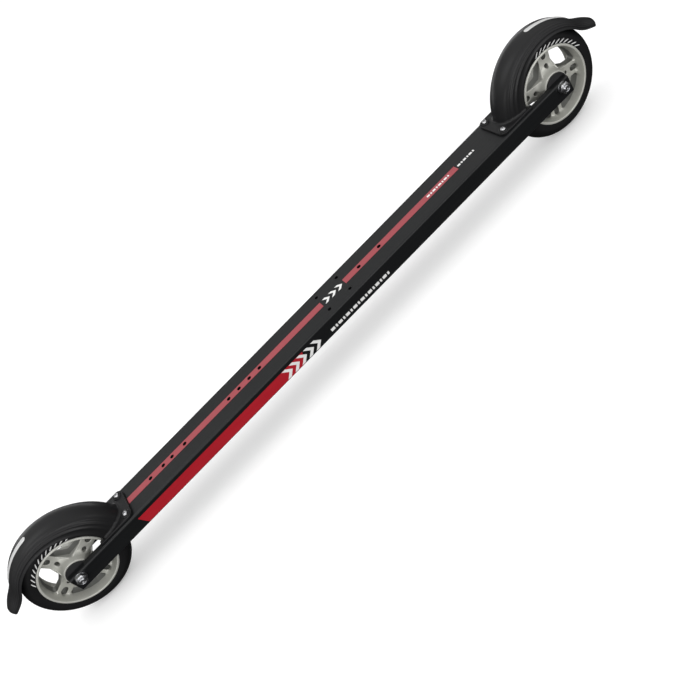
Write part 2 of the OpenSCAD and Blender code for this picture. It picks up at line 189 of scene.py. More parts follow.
def cast_alloy():
    """Cast metal, bright outside, with painted shade inside the openings and in recesses, and painted highlights
    along its edges.
    """
    look = Look("cast_alloy", (0.56, 0.56, 0.51), 0.42, metallic=0.35)
    grain = look.noise(2600, detail=4, roughness=0.6)
    cloud = look.noise(60, detail=3)
    look.tint(look.span(cloud, 0.35, 0.7, 0.0, 0.5), (0.47, 0.47, 0.43))
    # Painted shade: faces near the middle plane, which lie inside the openings, are painted dark.
    across = look.add("ShaderNodeSeparateXYZ", Vector=look.place).outputs["Y"]
    within = look.span(look.math("ABSOLUTE", across), 0.0042, 0.0034)
    look.tint(within, (0.15, 0.152, 0.138))
    # Painted shade: recesses that open space doesn't reach are painted darker.
    look.tint(look.math("MULTIPLY", look.recess_shade(0.022), 0.6), (0.16, 0.162, 0.148))
    # Painted highlight: edges and fillets are painted brighter.
    look.tint(look.edges(0.0007), (0.80, 0.80, 0.76))
    look.rough(cloud, 0.06)
    look.bump(grain, 0.00005, 0.5)
    return look.material


def tyre_rubber():
    """Matt rubber that is greyer along the middle of the tread."""
    look = Look("tyre_rubber", (0.006, 0.006, 0.0065), 0.56, specular=0.2)
    grain = look.noise(2400, detail=4, roughness=0.6)
    cloud = look.noise(45, detail=4)
    across = look.add("ShaderNodeSeparateXYZ", Vector=look.place).outputs["Y"]
    tread = look.span(look.math("ABSOLUTE", across), 0.0075, 0.0045)
    worn = look.math("MULTIPLY", tread, look.span(cloud, 0.3, 0.7, 0.25, 0.9))
    look.tint(worn, (0.016, 0.0155, 0.015))
    look.rough(cloud, 0.07)
    look.bump(grain, 0.00005, 0.5)
    return look.material


def metal(name, colour, roughness, turned=True):
    """Plated or turned metal with fine marks about the axle, or all ways if it isn't turned, and painted
    highlights along its edges.
    """
    look = Look(name, colour, roughness, metallic=1.0)
    marks = look.noise(2800, stretch=(1, 3, 1) if turned else (1, 1, 1), detail=4)
    cloud = look.noise(150, detail=3)
    look.tint(look.span(cloud, 0.35, 0.7, 0.0, 0.4), tuple(0.72 * c for c in colour))
    # Painted highlight: edges are painted brighter than the metal round them.
    look.tint(look.edges(0.0004), tuple(min(1.0, 1.25 * c) for c in colour))
    look.rough(marks, 0.08)
    look.bump(marks, 0.00002, 0.4)
    return look.material


def dark_plastic(name, colour, roughness):
    """Dark moulded plastic or rubber with a fine grain."""
    look = Look(name, colour, roughness, specular=0.4)
    grain = look.noise(3000, detail=3)
    cloud = look.noise(80, detail=3)
    look.tint(look.span(cloud, 0.35, 0.7, 0.0, 0.5), tuple(1.8 * c for c in colour))
    look.rough(cloud, 0.08)
    look.bump(grain, 0.00003, 0.4)
    return look.material


def print_ink(name, colour, roughness=0.38):
    """Screen-printed ink: a little uneven, with small worn specks."""
    look = Look(name, colour, roughness, specular=0.45)
    cloud = look.noise(55, detail=4)
    grain = look.noise(900, stretch=(0.03, 1, 1), detail=3)
    speck = look.noise(1500, detail=5, roughness=0.7)
    look.tint(look.span(cloud, 0.35, 0.7, 0.0, 0.35), tuple(0.82 * c for c in colour))
    look.tint(look.span(speck, 0.70, 0.76, 0.0, 0.6), tuple(0.45 * c for c in colour))
    look.rough(grain, 0.06)
    look.bump(grain, 0.000012, 0.4)
    return look.material


def reflector_white():
    """White reflective film: a fine net of prism cells under a clear face."""
    look = Look("reflector_white", (0.60, 0.60, 0.595), 0.30, specular=0.5)
    mapping = look.add("ShaderNodeMapping", Vector=look.place, Scale=(900, 900, 900))
    cells = look.add("ShaderNodeTexVoronoi", Vector=mapping.outputs[0], Scale=1.0)
    cells.feature = "DISTANCE_TO_EDGE"
    net = look.span(cells.outputs["Distance"], 0.0, 0.12, 1.0, 0.0)
    look.tint(look.math("MULTIPLY", net, 0.35), (0.48, 0.49, 0.50))
    look.rough(look.noise(60, detail=3), 0.05)
    look.bump(cells.outputs["Distance"], 0.00003, 0.5)
    return look.material


LOOKS = {
    "anodised_black": anodised_black(),
    "guard_plastic": guard_plastic(),
    "screw_steel": metal("screw_steel", (0.50, 0.50, 0.51), 0.24, turned=False),
    "reflector_white": reflector_white(),
    "cast_alloy": cast_alloy(),
    "tyre_rubber": tyre_rubber(),
    "bearing_steel": metal("bearing_steel", (0.62, 0.63, 0.65), 0.22),
    "cage_brass": metal("cage_brass", (0.60, 0.48, 0.22), 0.30),
    "seal_rubber": dark_plastic("seal_rubber", (0.015, 0.015, 0.016), 0.55),
    "sleeve_alloy": metal("sleeve_alloy", (0.55, 0.56, 0.58), 0.32),
    "spacer_plastic": dark_plastic("spacer_plastic", (0.013, 0.013, 0.014), 0.42),
    "axle_steel": metal("axle_steel", (0.44, 0.445, 0.46), 0.24),
    "washer_steel": metal("washer_steel", (0.30, 0.305, 0.315), 0.30),
    "nut_steel": metal("nut_steel", (0.46, 0.465, 0.48), 0.20, turned=False),
    "red_film_top": print_ink("red_film_top", (0.34, 0.054, 0.066)),
    "red_film_side": print_ink("red_film_side", (0.40, 0.010, 0.020)),
    "pale_film": print_ink("pale_film", (0.78, 0.78, 0.77)),
}


def dress(obj, slot):
    """Gives a piece the material of the record's slot."""
    obj.data.materials.clear()
    obj.data.materials.append(LOOKS[slot])


for part in frame["record"]["subparts"]:
    dress(NODES[part["node"]], part["material_slot"])


# ---- mesh making: every length below is in millimetres, about a wheel's axle ----

# Points closer than this become one
WELD = 0.0005


def rise(end):
    """Places a point drawn about the axle with +X pointing outwards, at either end of the ski."""
    side = dict(ENDS)[end]
    return lambda p: AXLES[end] + MM * Vector((side * p[0], p[1], p[2]))


def piece(name, shells, slot, body, place, stands_for=(), crease=32):
    """One object from closed shells, each a list of points and a list of faces."""
    work = bmesh.new()
    for points, faces in shells:
        made = [work.verts.new(place(p)) for p in points]
        for face in faces:
            work.faces.new([made[i] for i in face])
    bmesh.ops.remove_doubles(work, verts=work.verts, dist=WELD * MM)
    bmesh.ops.recalc_face_normals(work, faces=work.faces)
    mesh = bpy.data.meshes.new(name)
    work.to_mesh(mesh)
    work.free()
    mesh.shade_smooth()
    mesh.set_sharp_from_angle(angle=math.radians(crease))
    obj = bpy.data.objects.new(name, mesh)
    bpy.context.scene.collection.objects.link(obj)
    dress(obj, slot)
    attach(obj, body)
    if stands_for:
        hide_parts(*stands_for)
    return obj


def tube(rings, closed=False, capped=True):
    """Joins rings of points in a row, and the last to the first if closed."""
    count = len(rings[0])
    points = [p for ring in rings for p in ring]
    faces = []
    for k in range(len(rings) if closed else len(rings) - 1):
        a, b = k * count, (k + 1) % len(rings) * count
        faces += [(a + i, a + (i + 1) % count, b + (i + 1) % count, b + i) for i in range(count)]
    if capped and not closed:
        faces.append(tuple(range(count)))
        faces.append(tuple(range(len(points) - count, len(points))))
    return points, faces


def sheet(top, bottom):
    """Closed shell between two grids of points that have the same rows and columns."""
    rows, columns = len(top), len(top[0])

    def at(grid, i, j):
        return (grid * rows + i) * columns + j

    points = [p for grid in (top, bottom) for row in grid for p in row]
    faces = [(at(g, i, j), at(g, i, j + 1), at(g, i + 1, j + 1), at(g, i + 1, j))
             for g in (0, 1) for i in range(rows - 1) for j in range(columns - 1)]
    rim = [(0, j) for j in range(columns)] + [(i, columns - 1) for i in range(1, rows)]
    rim += [(rows - 1, j) for j in range(columns - 2, -1, -1)] + [(i, 0) for i in range(rows - 2, 0, -1)]
    for a, b in zip(rim, rim[1:] + rim[:1]):
        faces.append((at(0, *a), at(0, *b), at(1, *b), at(1, *a)))
    return points, faces


def steps_of(count):
    """Angles of a full turn in equal steps."""
    return [2 * math.pi * k / count for k in range(count)]


def about_y(radius, turn, y):
    """Point at a radius and angle about the axle."""
    return Vector((radius * math.cos(turn), y, radius * math.sin(turn)))


def lathe(profile, count=96):
    """Turns a closed profile of radius and height points about the axle."""
    return tube([[about_y(r, t, y) for r, y in profile] for t in steps_of(count)], closed=True)


def spun(stages, count=72):
    """Rings about the axle at each height, with a radius or a rule that gives it for a turn."""
    return tube([[about_y(r(t) if callable(r) else r, t, y) for t in steps_of(count)]
                 for y, r in stages])


def fillet(corners, steps=4):
    """Closed outline through corners of x, y and radius, each rounded by its radius."""
    outline = []
    for i, (x, y, radius) in enumerate(corners):
        here = Vector((x, y))
        before = (Vector(corners[i - 1][:2]) - here).normalized()
        after = (Vector(corners[(i + 1) % len(corners)][:2]) - here).normalized()
        if radius == 0:
            outline.append(here)
            continue
        half = before.angle(after) / 2
        centre = here + (before + after).normalized() * radius / math.sin(half)
        start = here + before * radius / math.tan(half) - centre
        end = here + after * radius / math.tan(half) - centre
        first = math.atan2(start.y, start.x)
        sweep = (math.atan2(end.y, end.x) - first + math.pi) % (2 * math.pi) - math.pi
        for k in range(steps + 1):
            turn = first + sweep * k / steps
            outline.append(centre + radius * Vector((math.cos(turn), math.sin(turn))))
    return outline


def inset(outline, depth):
    """Moves a closed anticlockwise outline inwards."""
    moved = []
    for i, here in enumerate(outline):
        a = (here - outline[i - 1]).normalized()
        b = (outline[(i + 1) % len(outline)] - here).normalized()
        normal = Vector((-a.y - b.y, a.x + b.x)).normalized()
        moved.append(here + normal * depth / max(0.3, normal.dot(Vector((-a.y, a.x)))))
    return moved


def slab(outline, z0, z1, bevel, steps=3):
    """Flat plate with rounded edges."""
    turns = [math.pi / 2 * k / steps for k in range(steps + 1)]
    low = [(z0 + bevel * (1 - math.sin(t)), bevel * (1 - math.cos(t))) for t in reversed(turns)]
    high = [(z1 - bevel * (1 - math.sin(t)), bevel * (1 - math.cos(t))) for t in turns]
    return tube([[Vector((p.x, p.y, z)) for p in inset(outline, depth)] for z, depth in low + high])


def upright(shell, x, y, z):
    """Stands a shell made about Y upright, with its heights along Z, at a point."""
    points, faces = shell
    return [Vector((x + p[0], y + p[2], z + p[1])) for p in points], faces


# ---- wheels ----

# Where one of the spokes lies at rest
TURN = {"front": math.radians(78), "rear": math.radians(67)}
SPOKES = 4
HUB_STEPS = 96
BOSS_R, BOSS_Y, BOSS_FLARE = 12.8, 13.2, 2.4
WEB_Y = 4.4
RIM_WALL_FROM, RIM_WALL_R, RIM_WALL_Y, RIM_WALL_POWER = 30.6, 33.8, 12.3, 2.2
RIM_R = 36
WINDOW_R = 2.4
WINDOW_FILLET = 0.9
HOLE_R, HOLE_AT = 2.2, 18
OBLONG_R, OBLONG_FROM, OBLONG_TO = 2.7, 27, 29.8
HOLE_FILLET = 0.45


def polar(radius, degrees):
    """Flat point at a radius and angle."""
    return Vector((radius * math.cos(math.radians(degrees)), radius * math.sin(math.radians(degrees))))


# Centres of a window's corners: its point by the boss, its two sides and the arc along the rim
WINDOW = ([polar(17.3, 0), polar(24, -23)] + [polar(30.1, 13.75 * k) for k in range(-2, 3)]
          + [polar(24, 23)])


def hub_height(r):
    """Height of the hub's face over its middle plane: a flared boss, a web and a rim wall."""
    flare = (BOSS_Y - WEB_Y) * math.exp((BOSS_R - r) / BOSS_FLARE)
    climb = max(0.0, (r - RIM_WALL_FROM) / (RIM_WALL_R - RIM_WALL_FROM))
    return WEB_Y + flare + (RIM_WALL_Y - WEB_Y) * climb ** RIM_WALL_POWER


def grown(centres, radius, steps, turn):
    """Outline at a radius round a convex row of centres, turned about the axle."""
    count = len(centres)
    facing = []
    for i in range(count):
        along = centres[(i + 1) % count] - centres[i]
        facing.append(math.atan2(along.y, along.x) - math.pi / 2)
    outline = []
    for i, centre in enumerate(centres):
        sweep = (facing[i] - facing[i - 1]) % (2 * math.pi)
        for k in range(steps + 1):
            a = facing[i - 1] + sweep * k / steps
            p = centre + radius * Vector((math.cos(a), math.sin(a)))
            outline.append(Vector((p.x * math.cos(turn) - p.y * math.sin(turn),
                                   p.x * math.sin(turn) + p.y * math.cos(turn))))
    return outline


def inside(p, outline):
    """True if a point lies within a closed outline."""
    hit = False
    for a, b in zip(outline, outline[1:] + outline[:1]):
        if (a.y > p.y) != (b.y > p.y) and p.x < a.x + (p.y - a.y) * (b.x - a.x) / (b.y - a.y):
            hit = not hit
    return hit


def hub_openings(turn):
    """Centres, radius, arc steps, fillet and turn of every window and hole."""
    round_hole = [Vector((HOLE_AT, 0)), Vector((HOLE_AT + 0.01, 0))]
    oblong_hole = [Vector((OBLONG_FROM, 0)), Vector((OBLONG_TO, 0))]
    openings = []
    for k in range(SPOKES):
        spoke = turn + 2 * math.pi * k / SPOKES
        openings.append((WINDOW, WINDOW_R, 6, WINDOW_FILLET, spoke + math.pi / SPOKES))
        openings.append((round_hole, HOLE_R, 12, HOLE_FILLET, spoke))
        openings.append((oblong_hole, OBLONG_R, 12, HOLE_FILLET, spoke))
    return openings


# Rings of points on the hub's face: close together where the boss and the rim wall bend, and
# none this near an opening's edge
FACE_RINGS = (13.3, 13.9, 14.6, 15.4, 16.4, 17.5, 18.8, 20.2, 21.7, 23.3, 25, 26.7, 28.4, 30, 31.2, 32,
              32.5, 32.9, 33.2, 33.5)
FACE_GAP = 0.35


def hub_face(openings):
    """Triangles of the hub's face between the boss, the rim and the edges of the openings."""
    loops = [[Vector(about_y(r, t, 0).xz) for t in steps_of(HUB_STEPS)] for r in (BOSS_R, RIM_WALL_R)]
    edges = [grown(centres, r + f, steps, turn) for centres, r, steps, f, turn in openings]
    keep_out = [grown(centres, r + f + FACE_GAP, steps, turn) for centres, r, steps, f, turn in openings]
    points, links = [], []
    for loop in loops + edges:
        first = len(points)
        points += loop
        links += [(first + i, first + (i + 1) % len(loop)) for i in range(len(loop))]
    for row, r in enumerate(FACE_RINGS):
        for t in steps_of(HUB_STEPS):
            p = Vector(about_y(r, t + row % 2 * math.pi / HUB_STEPS, 0).xz)
            if not any(inside(p, outline) for outline in keep_out):
                points.append(p)
    corners, _, faces = delaunay_2d_cdt(points, links, [], 0, 1e-5)[:3]
    kept = []
    for face in faces:
        middle = sum((corners[i] for i in face), Vector((0, 0))) / len(face)
        if middle.length > BOSS_R * 0.999 and not any(inside(middle, edge) for edge in edges):
            kept.append(tuple(face))
    return corners, kept


def opening_wall(centres, radius, steps, blend, turn):
    """Wall of an opening from face to face, rounded over at both."""
    rings = []
    for side in (1, -1):
        half = []
        for k in range(5):
            t = math.pi / 2 * k / 4
            outline = grown(centres, radius + blend * (1 - math.cos(t)), steps, turn)
            drop = blend * (1 - math.sin(t))
            half.append([Vector((p.x, side * (hub_height(p.length) - drop), p.y)) for p in outline])
        rings += half[::-1] if side > 0 else half
    return tube(rings, capped=False)


def hub(end):
    """Both faces, the walls of the openings, the boss and the rim, which meet to close the casting."""
    openings = hub_openings(TURN[end])
    corners, faces = hub_face(openings)
    shells = []
    for side in (-1, 1):
        shells.append(([Vector((c.x, side * hub_height(c.length), c.y)) for c in corners], faces))
    shells += [opening_wall(*opening) for opening in openings]
    boss = [(BOSS_R, hub_height(BOSS_R)), (12.65, 13.42), (12.4, 13.5), (11.25, 13.5), (11, 13.3), (11, 6),
            (9.5, 6)]
    rim = [(RIM_WALL_R, hub_height(RIM_WALL_R)), (33.95, 12.62), (34.3, 12.8), (34.9, 12.75), (35.3, 12.45),
           (35.7, 12.4), (RIM_R, 12.1), (RIM_R, 6)]
    for half in (boss, rim):
        profile = half + [(r, -y) for r, y in reversed(half)]
        rings = [[about_y(r, t, y) for t in steps_of(HUB_STEPS)] for r, y in profile]
        shells.append(tube(rings, capped=False))
    piece(end + "_hub_casting", shells, "cast_alloy", end + "_wheel", rise(end), [end + "_hub"])


def tyre_profile():
    """Bead, flat sidewall, round shoulder and a nearly flat tread."""
    half = [(36, 6), (36, 11.3), (36.25, 11.8), (36.8, 11.98), (38.5, 12), (41, 12), (42.2, 11.9)]
    for k in range(1, 14):
        turn = math.radians(22 + (76.5 - 22) * k / 13)
        half.append((37.4 + 12.95 * math.sin(turn), 12.95 * math.cos(turn)))
    half.append((WHEEL_R / MM, 1.5))
    return half + [(r, -y) for r, y in reversed(half)]


# Where the pale ticks lie on each tyre at rest, in degrees from straight outwards
TICKS = {"front": (18, 100), "rear": (33, 125)}
TICK_PITCH = 7.4
TICK_R, TICK_LENGTH, TICK_HALF_W, TICK_LEAN = 36.5, 3.7, 0.75, 6.5


def ticks(end):
    """Slanted pale ticks printed on the tyre's right sidewall."""
    first, last = TICKS[end]
    lean = 1 if end == "front" else -1
    shells = []
    count = round((last - first) / TICK_PITCH)
    for k in range(count):
        middle = first + (last - first) * (k + 0.5) / count
        grids = []
        for y in (-12.09, -11.9):
            grid = []
            for i in range(9):
                share = i / 8
                half_w = TICK_HALF_W * math.sqrt(math.sin(math.pi * (0.06 + 0.88 * share)))
                r = TICK_R + TICK_LENGTH * share
                centre = middle - lean * TICK_LEAN * (share - 0.5)
                spread = math.degrees(half_w / r)
                grid.append([about_y(r, math.radians(centre + spread * v), y) for v in (-1, 1)])
            grids.append(grid)
        shells.append(sheet(*grids))
    piece(end + "_tyre_ticks", shells, "pale_film", end + "_wheel", rise(end))


def hexagon(across, limit=99):
    """Rule for a hexagon's radius by turn, held under a limit."""
    def radius(turn):
        return min(limit, across / 2 / math.cos(turn % (math.pi / 3) - math.pi / 6))
    return radius


ARM_Y = SIDE_Y / MM
WASHER_T = 0.8
# Across the flats of the nut and of the bolt's head
HEX = 10


def axle_nut(end):
    """Locking nut on the right: a chamfered hexagon with a round collar."""
    face, bore = -ARM_Y - WASHER_T, 3.02
    stages = [(0, bore), (0, hexagon(HEX, 4.9)), (0.3, hexagon(HEX, 5.45)), (0.5, hexagon(HEX))]
    stages += [(3.0 + 0.12 * k, hexagon(HEX, 5.8 - 0.16 * k)) for k in range(7)]
    stages += [(3.75, 4.5), (3.85, 4.35), (4.5, 4.3), (4.8, 4.1), (4.9, 3.8), (4.9, 3.5), (4.6, 3.35),
               (4.4, bore)]
    shell = tube([[about_y(r(t) if callable(r) else r, t, face - h) for t in steps_of(72)]
                  for h, r in stages], closed=True)
    piece(end + "_lock_nut", [shell], "nut_steel", "ski", rise(end),
          [end + "_axle_nut"])


def axle_bolt(end):
    """Threaded end on the right, shank, and a flanged head with a chamfer on the left."""
    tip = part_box(end + "_axle_bolt")
    right, left = tip[0].y / MM, tip[1].y / MM
    root, shank, pitch, thread_length = 2.66, 2.97, 0.7, 7
    stages = [(right + 0.5, 0.7), (right + 0.05, 1.1), (right, 1.4), (right, 2.2), (right + 0.45, 2.7)]
    y = right + 0.6
    while y < right + thread_length:
        stages += [(y, root), (y + 0.25, shank), (y + 0.35, shank), (y + 0.6, root)]
        y += pitch
    arm = ARM_Y + WASHER_T
    stages += [(y + 0.3, shank), (arm, shank), (arm, 5.85), (arm + 0.15, 6.0), (arm + 0.7, 6.0),
               (arm + 1.0, 5.8), (arm + 1.15, 5.2)]
    stages += [(arm + 1.25, hexagon(HEX, 5.6)), (arm + 1.5, hexagon(HEX))]
    stages += [(left - 0.8 + 0.13 * k, hexagon(HEX, 5.8 - 0.17 * k)) for k in range(7)]
    stages += [(left, 4.5), (left - 0.35, 4.1), (left - 0.4, 3.4)]
    piece(end + "_through_bolt", [spun(stages)], "axle_steel", "ski", rise(end), [end + "_axle_bolt"])


def axle_washers(end):
    """Flat washers against the outsides of the fork arms."""
    outer = ARM_Y + WASHER_T
    shells = []
    for side in (-1, 1):
        outline = fillet([(3.1, ARM_Y, 0), (5.55, ARM_Y, 0), (5.55, outer, 0.25), (3.1, outer, 0.2)], 3)
        shells.append(lathe([(p.x, side * p.y) for p in outline], 72))
    piece(end + "_washer_pair", shells, "washer_steel", "ski", rise(end), [end + "_axle_washers"])


def wheel(end):
    """Hub, tyre and the axle that carries them."""
    hub(end)
    piece(end + "_tyre_moulding", [lathe(tyre_profile(), 144)], "tyre_rubber", end + "_wheel", rise(end),
          [end + "_tyre"])
    ticks(end)
    axle_nut(end)
    axle_bolt(end)
    axle_washers(end)


# ---- mudguards ----

# The crown line: an arc over the wheel, then a tongue that runs out to the tip
CROWN = Vector((-2.2, -4.5))
CROWN_R = 61.2
GUARD_HALF_W = 17
GUARD_WALL = 2
SKIRT_DEPTH, SKIRT_GROWTH, SKIRT_FROM, SKIRT_SPAN = 7.9, 17, 47, 121
ARC_END = 39
SECTION_POWER = 0.909
# Degrees round the section from the crown to the step and to each moulded line
CROWN_EDGE = 36
FLANK_LINES = (47, 59, 71)
TIP = Vector((65.9, 17.6))
TIP_HALF_W = 14.3
TIP_DEPTH = 5.2
TIP_FALL = math.radians(40)
TIP_FROM = 0.74
TIP_POWER = 2.3
DECK = (DECK_Z - WHEEL_R) / MM
FOOT_T = 2.5
FOOT_TOP = DECK + FOOT_T
FOOT_IN, FOOT_OUT, FOOT_HALF_W = -71.3, -33, 19.5
SLOT_X, SLOT_HALF_W = -54, 15
SCREW_X, SCREW_Y = -65.5, 13.8
LUG_TOP = DECK + 3.6
COLUMNS = 120


def skirt_depth(degrees):
    """Drop from the crown to the skirt's edge, which grows towards the foot."""
    return SKIRT_DEPTH + SKIRT_GROWTH * (max(0, degrees - SKIRT_FROM) / SKIRT_SPAN) ** 1.4


def relief(phi, strength):
    """Height of the moulded lines on each flank, the step down from the crown and the rolled edge."""
    a = abs(phi)
    lines = sum(0.42 * math.exp(-((a - line) / 3.4) ** 2) for line in FLANK_LINES)
    step = -0.3 / (1 + math.exp((CROWN_EDGE - a) / 1.6))
    rolled = 0.6 * math.exp(-((90 - a) / 5) ** 2)
    return (lines + step) * strength + rolled


def guard_section(half_w, depth, phi, wall, strength):
    """Sideways place and drop below the crown of a point on the section."""
    side, up = math.sin(math.radians(phi)), math.cos(math.radians(phi))
    out = 0 if wall else relief(phi, strength)
    across = (half_w - wall) * abs(side) ** SECTION_POWER * (1 if side > 0 else -1)
    drop = wall + (depth - wall) * (1 - abs(up) ** SECTION_POWER)
    return across + out * side, drop - out * up


def arc_point(degrees, phi, wall):
    """Point on the part of the shell that follows the wheel."""
    across, drop = guard_section(GUARD_HALF_W, skirt_depth(degrees), phi, wall, 1)
    p = CROWN + (CROWN_R - drop) * polar(1, degrees)
    return Vector((p.x, across, p.y))


def arc_at_height(z, phi, wall):
    """Angle at which the shell comes down to a height, at one place across its section."""
    low, high = 110, 180
    for _ in range(30):
        middle = (low + high) / 2
        if arc_point(middle, phi, wall).z > z:
            low = middle
        else:
            high = middle
    return low


TONGUE_START = CROWN + CROWN_R * polar(1, ARC_END)
TONGUE_PULL = 0.4 * (TIP - TONGUE_START).length
TONGUE = (TONGUE_START, TONGUE_START + TONGUE_PULL * -polar(1, ARC_END + 90),
          TIP - TONGUE_PULL * Vector((math.cos(TIP_FALL), -math.sin(TIP_FALL))), TIP)


def tongue_point(t, phi, wall):
    """Point on the tongue, which narrows and closes round the tip."""
    a, b, c, d = TONGUE
    s = 1 - t
    crown = s ** 3 * a + 3 * s * s * t * b + 3 * s * t * t * c + t ** 3 * d
    along = (s * s * (b - a) + 2 * s * t * (c - b) + t * t * (d - c)).normalized()
    end = max(0, t - TIP_FROM) / (1 - TIP_FROM)
    close = max(0, 1 - end ** TIP_POWER) ** (1 / TIP_POWER)
    half_w = GUARD_HALF_W + (TIP_HALF_W - GUARD_HALF_W) * min(1, t / 0.85) ** 1.3
    half_w = max(0.3, half_w * close)
    depth = (skirt_depth(0) + (TIP_DEPTH - skirt_depth(0)) * t) * (0.38 + 0.62 * close)
    inner = min(wall, 0.45 * half_w, 0.45 * depth)
    across, drop = guard_section(half_w, depth, phi, inner, max(0, 1 - t / 0.7))
    drop += 0.4 * (1 - close)
    p = crown - drop * Vector((-along.y, along.x))
    return Vector((p.x, across, p.y))


def guard_shell():
    """Outer and inner skin, from inside the foot, over the wheel, to the rounded tip."""
    arc_rows = 66
    tongue_rows = [TIP_FROM * k / 12 for k in range(1, 13)]
    tongue_rows += [TIP_FROM + (1 - TIP_FROM) * math.sin(math.radians(9.9 * k)) for k in range(1, 10)]
    phis = [-90 + 180 * j / COLUMNS for j in range(COLUMNS + 1)]
    skins = []
    for wall in (0, GUARD_WALL):
        foot = [arc_at_height(FOOT_TOP - 1, phi, wall) for phi in phis]
        rows = [[arc_point(start + (ARC_END - start) * i / arc_rows, phi, wall)
                 for phi, start in zip(phis, foot)] for i in range(arc_rows + 1)]
        rows += [[tongue_point(t, phi, wall) for phi in phis] for t in tongue_rows]
        skins.append(rows)
    return sheet(*skins)


def foot_fillet(radius=1.9):
    """Hollow fillet between the shell's flank and the top of the foot."""
    last = 80
    phis = [-87 + 174 * k / last for k in range(last + 1)]
    base = [arc_point(arc_at_height(FOOT_TOP, phi, 0), phi, 0) for phi in phis]
    rings = []
    for k, phi in enumerate(phis):
        along = (base[min(k + 1, last)] - base[max(k - 1, 0)]).normalized()
        out = Vector((-along.y, along.x, 0)).normalized()
        if out.x > 0 and abs(phi) < 40 or out.y * phi < 0:
            out = -out
        high = arc_point(arc_at_height(FOOT_TOP + radius, phi, 0), phi, 0)
        start = Vector((high.x, high.y, 0)) - Vector((base[k].x, base[k].y, 0))
        ring = []
        for i in range(6):
            t = math.pi / 2 * i / 5
            share = 1 - math.sin(t)
            p = base[k] + start * share + out * radius * (1 - math.cos(t))
            ring.append(Vector((p.x, p.y, FOOT_TOP + radius * share - 0.02)))
        ring.append(base[k] + out * radius - Vector((0, 0, 0.4)))
        ring.append(base[k] - out * 0.8 - Vector((0, 0, 0.4)))
        ring.append(high - out * 0.8)
        rings.append(ring)
    return tube(rings)


def guard_foot():
    """Flat foot that straddles the wheel slot, with rounded corners and edges."""
    outline = fillet([(FOOT_IN, -FOOT_HALF_W, 6), (FOOT_OUT, -FOOT_HALF_W, 2), (FOOT_OUT, -SLOT_HALF_W, 1),
                      (SLOT_X, -SLOT_HALF_W, 2), (SLOT_X, SLOT_HALF_W, 2), (FOOT_OUT, SLOT_HALF_W, 1),
                      (FOOT_OUT, FOOT_HALF_W, 2), (FOOT_IN, FOOT_HALF_W, 6)], 6)
    return slab(outline, DECK, FOOT_TOP, 0.5)


def guard_lugs():
    """Round lugs, each with a shallow seat round the screw head."""
    bore, outer, seat_r, seat = 2.05, 4.6, 3.35, 0.5
    height = LUG_TOP - DECK
    profile = fillet([(bore, 0.1, 0), (outer, 0.1, 0), (outer, height, 0.9), (seat_r, height, 0.2),
                      (seat_r, height - seat, 0), (bore, height - seat, 0)], 4)
    return [upright(lathe([(p.x, p.y) for p in profile], 48), SCREW_X, y, DECK)
            for y in (-SCREW_Y, SCREW_Y)]


def guard_screws(end):
    """Button-head screws with a hexagon socket."""
    across = 2.3
    stages = [(-7.5, 1.4), (-7.2, 1.85), (-0.5, 1.85), (-0.45, 2.45), (-0.25, 2.6)]
    stages += [(1.25 * math.sin(t), 0.7 + 1.9 * math.cos(t)) for t in (0.1, 0.35, 0.6, 0.85, 1.1, 1.35)]
    stages += [(1.22, hexagon(across + 0.2)), (1.1, hexagon(across)), (0.3, hexagon(across)), (0.15, 0.4)]
    shells = [upright(spun(stages, 48), SCREW_X, y, LUG_TOP) for y in (-SCREW_Y, SCREW_Y)]
    piece(end + "_button_screws", shells, "screw_steel", "ski", rise(end), [end + "_guard_screws"])


def reflector(end):
    """White strip with round ends, laid on the crown."""
    first, last, half_w, thick = 42, 86, 2.6, 0.4
    end_reach = math.degrees(half_w / CROWN_R)
    grids = []
    for lift in (thick, -0.3):
        rows = []
        for i in range(49):
            place = first + (last - first) * (1 - math.cos(math.pi * i / 48)) / 2
            to_end = min(place - first, last - place) / end_reach
            width = half_w * math.sqrt(max(0, 1 - max(0, 1 - to_end) ** 2))
            row = []
            for j in range(13):
                share = math.sin(math.pi * (j / 12 - 0.5))
                y = share * width
                phi = math.degrees(math.asin((abs(y) / GUARD_HALF_W) ** (1 / SECTION_POWER)))
                drop = guard_section(GUARD_HALF_W, skirt_depth(place), phi, 0, 1)[1]
                if lift > 0:
                    height = lift * (0.35 + 0.65 * min(1, to_end * 3) * (1 - share ** 6))
                else:
                    height = lift
                p = CROWN + (CROWN_R - drop + height) * polar(1, place)
                row.append(Vector((p.x, y, p.y)))
            rows.append(row)
        grids.append(rows)
    piece(end + "_reflective_strip", [sheet(*grids)], "reflector_white", "ski", rise(end),
          [end + "_reflector"])


def mudguard(end):
    """Shell, foot and lugs in one moulding, with its screws and reflector."""
    shells = [guard_shell(), foot_fillet(), guard_foot()] + guard_lugs()
    piece(end + "_mudguard_moulding", shells, "guard_plastic", "ski", rise(end), [end + "_mudguard"])
    guard_screws(end)
    reflector(end)


for end_name, _ in ENDS:
    wheel(end_name)
    mudguard(end_name)


# ---- studio ----


def stage(name, shell, look):
    """Part of the studio that the ski isn't lit by and doesn't mirror."""
    mesh = bpy.data.meshes.new(name)
    mesh.from_pydata(shell[0], [], shell[1])
    mesh.materials.append(look.material)
    obj = bpy.data.objects.new(name, mesh)
    bpy.context.scene.collection.objects.link(obj)
    obj.visible_diffuse = False
    obj.visible_glossy = False
    return obj


